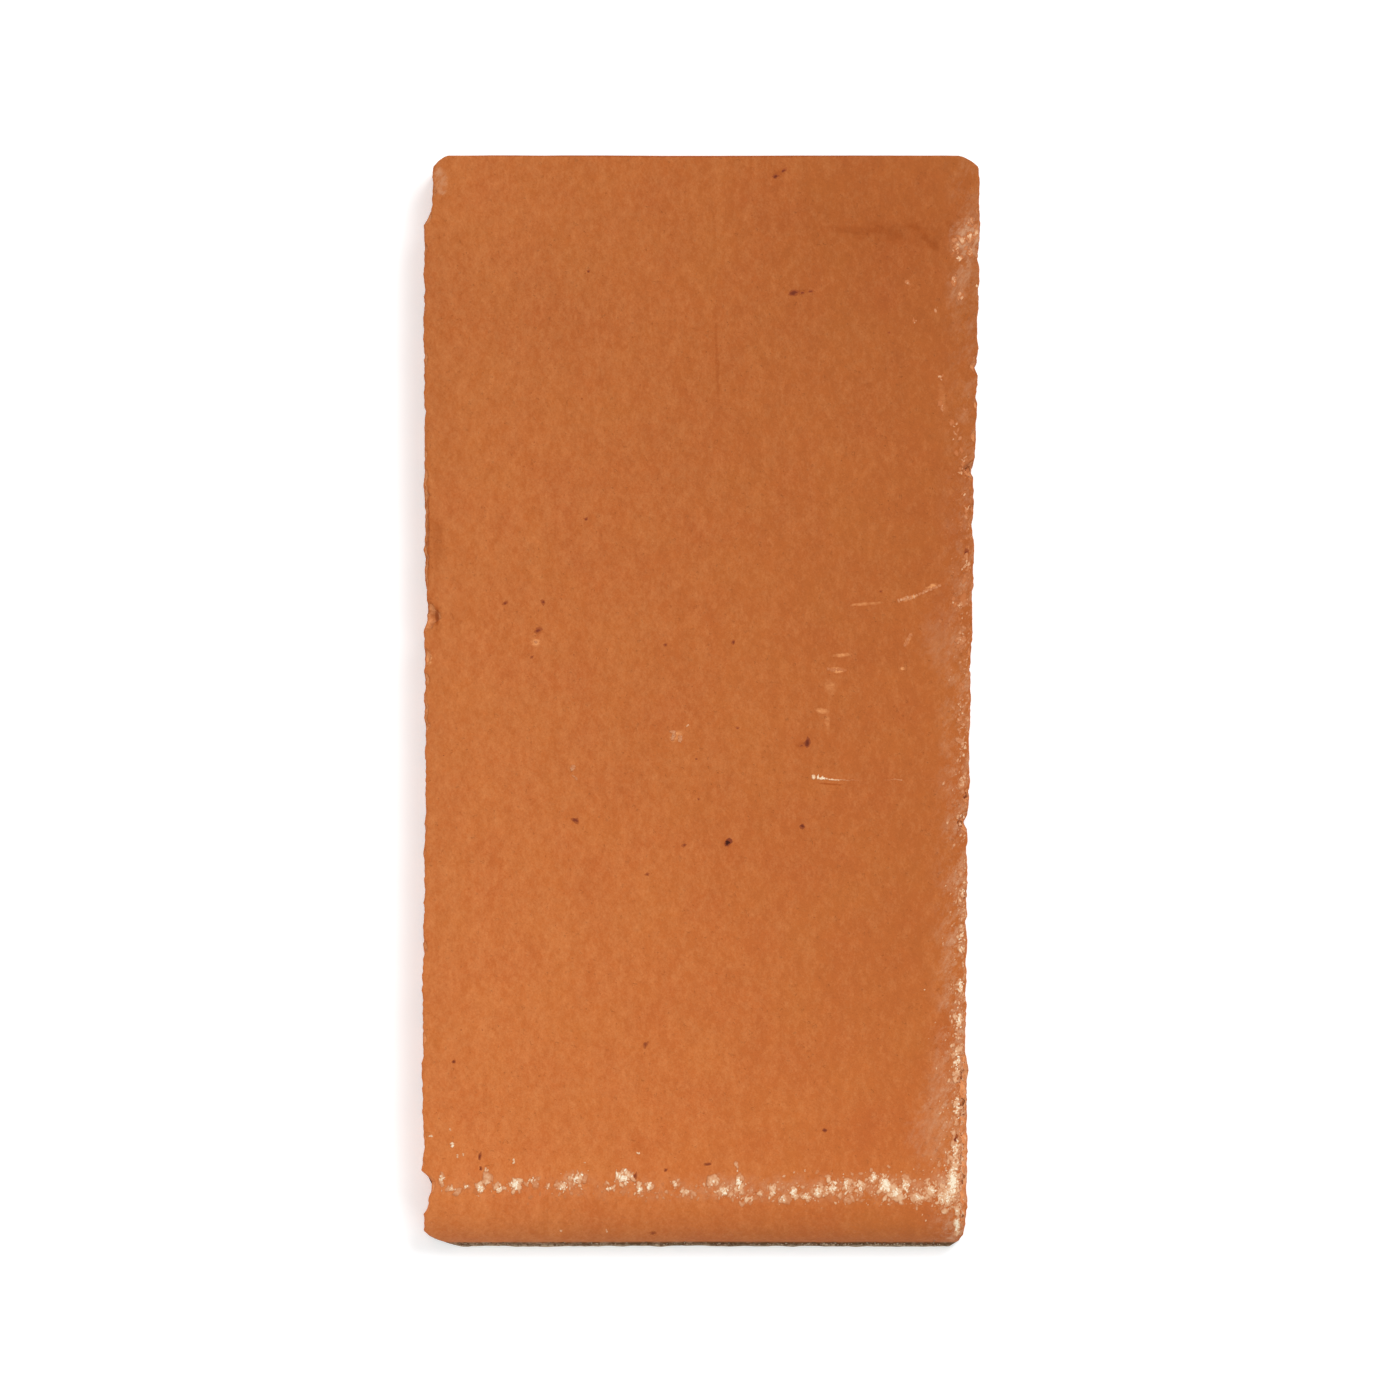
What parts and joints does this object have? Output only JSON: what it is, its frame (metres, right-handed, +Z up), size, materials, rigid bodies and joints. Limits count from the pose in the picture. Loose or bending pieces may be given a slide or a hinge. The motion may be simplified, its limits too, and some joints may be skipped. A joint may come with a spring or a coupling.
{
  "type": "bullnosed terracotta tile",
  "caption": "Flat rectangular bar of fired clay with one short end rounded over to a bullnose, keying grooves in its bed and a thin lime crust along the nose.",
  "frame": {"origin": "under the middle of the tile, in the plane of its bed", "axes": "+Y along the tile from the nosed end to the square butt end, +Z up out of the wear face, +X across the tile to the right with the butt end at the top"},
  "size_m": [0.1536, 0.3, 0.0203],
  "materials": {
    "terracotta": "matte",
    "lime": "matte"
  },
  "bodies": {
    "root": {"tile_body": "terracotta", "lime_crust_nose": "lime", "lime_crust_side": "lime"}
  },
  "joints": []
}
